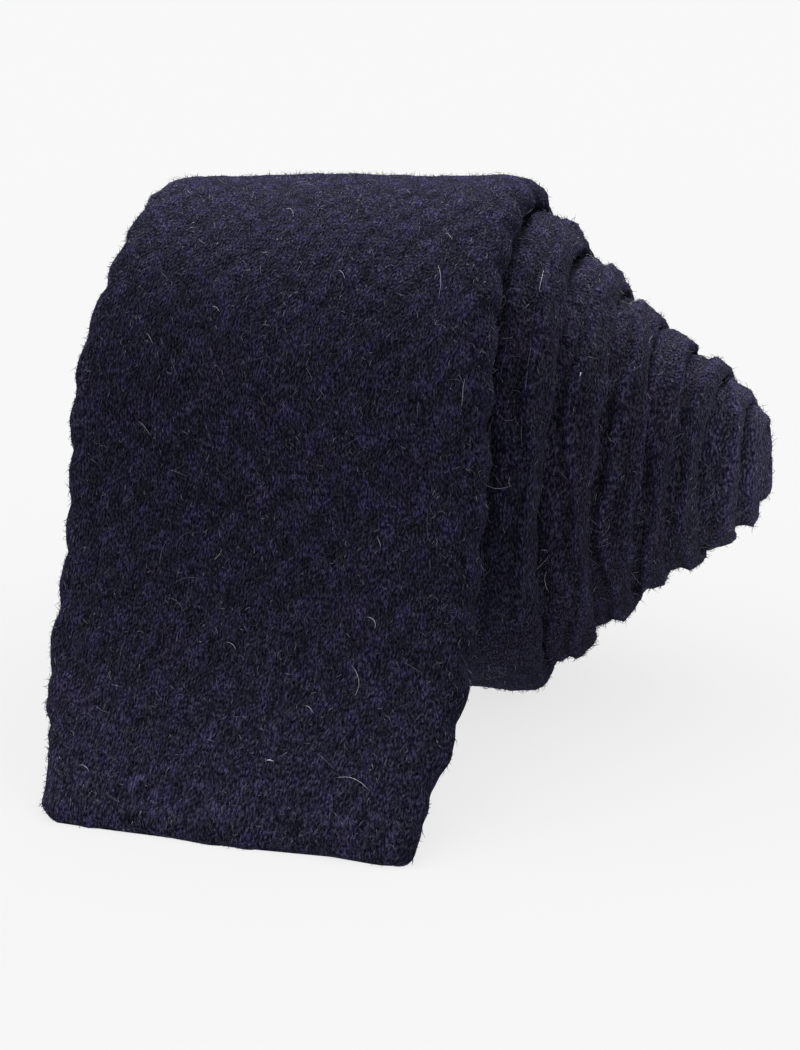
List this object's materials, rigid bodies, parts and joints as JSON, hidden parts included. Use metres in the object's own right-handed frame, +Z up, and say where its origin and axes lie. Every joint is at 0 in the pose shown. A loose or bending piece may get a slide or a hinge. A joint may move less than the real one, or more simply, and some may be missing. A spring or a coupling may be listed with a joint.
{
  "type": "rolled knit tie",
  "caption": "Square-ended wool knit tie, rolled up and drawn out into a stepped cone, with its wide end sloping down to the table.",
  "frame": {"origin": "middle of the floor outline, on the surface that the roll rests on", "axes": "+X along the roll's axis, from the wide blade towards the tip of the cone; -Y towards the square end of the flap; +Z up"},
  "size_m": [0.1092, 0.1314, 0.0907],
  "materials": {
    "textured_knit": "navy wool in a raised diamond knit, matt and fuzzy",
    "plain_knit": "navy wool in a smooth plain knit, matt and fuzzy"
  },
  "bodies": {
    "root": {"blade_hem": "plain_knit", "front_blade": "textured_knit", "neck_band": "textured_knit", "tail_end": "textured_knit"}
  },
  "joints": []
}
